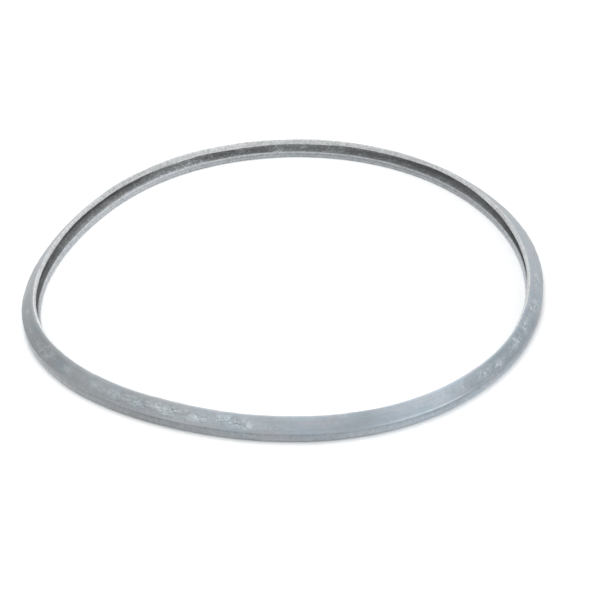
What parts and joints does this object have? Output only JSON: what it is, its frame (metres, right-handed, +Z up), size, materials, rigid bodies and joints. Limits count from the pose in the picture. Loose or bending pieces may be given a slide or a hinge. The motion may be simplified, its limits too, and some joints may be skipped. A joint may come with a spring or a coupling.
{
  "type": "pressure cooker sealing ring",
  "caption": "Soft grey rubber sealing ring for a pressure cooker lid, with an inward-opening lip channel, lying loose and slightly out of round.",
  "frame": {"origin": "under the middle of the ring, at the level of the flat face of its foot", "axes": "+Z up, out of the ring's plane, from the foot to the hood; X and Y lie in the ring's plane"},
  "size_m": [0.239, 0.2404, 0.0101],
  "materials": {
    "seal_rubber": "satin grey rubber with pale bloom and talc marks"
  },
  "bodies": {
    "root": {"sealing_ring": "seal_rubber"}
  },
  "joints": []
}
